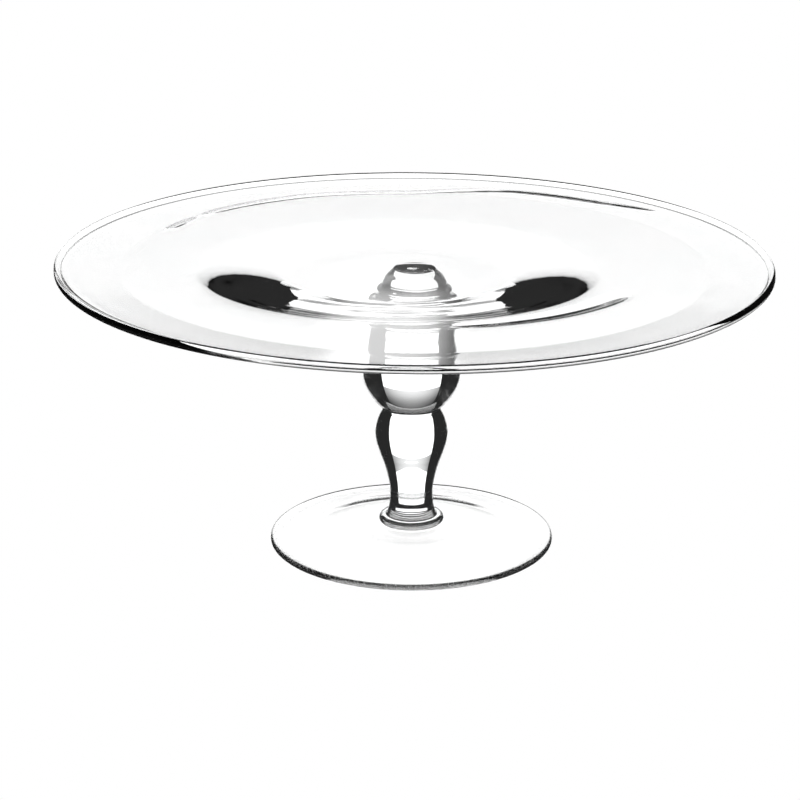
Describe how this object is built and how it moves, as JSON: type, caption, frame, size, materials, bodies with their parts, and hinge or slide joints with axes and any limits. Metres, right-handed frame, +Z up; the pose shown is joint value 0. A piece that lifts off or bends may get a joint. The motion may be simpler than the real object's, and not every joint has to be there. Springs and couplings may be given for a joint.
{
  "type": "footed cake stand",
  "caption": "Clear glass cake stand: a flat round plate, thick in the middle, with a raised beaded rim, on a turned stem with a ringed neck, a bulb and a baluster, on a low domed round foot.",
  "frame": {"origin": "on the table, under the middle of the foot", "axes": "+Z up along the stem's axis; X and Y lie level and are interchangeable, because the stand is round"},
  "size_m": [0.305, 0.305, 0.128],
  "materials": {
    "plate_glass": "clear, fire polished, faintly rippled",
    "stem_glass": "clear, thick, fire polished",
    "foot_glass": "clear, fire polished, lightly rubbed on the resting ring"
  },
  "bodies": {
    "root": {"plate": "plate_glass", "rim_bead": "plate_glass", "plate_collar": "stem_glass", "bulb": "stem_glass", "baluster": "stem_glass", "foot_collar": "stem_glass", "foot": "foot_glass"}
  },
  "joints": []
}
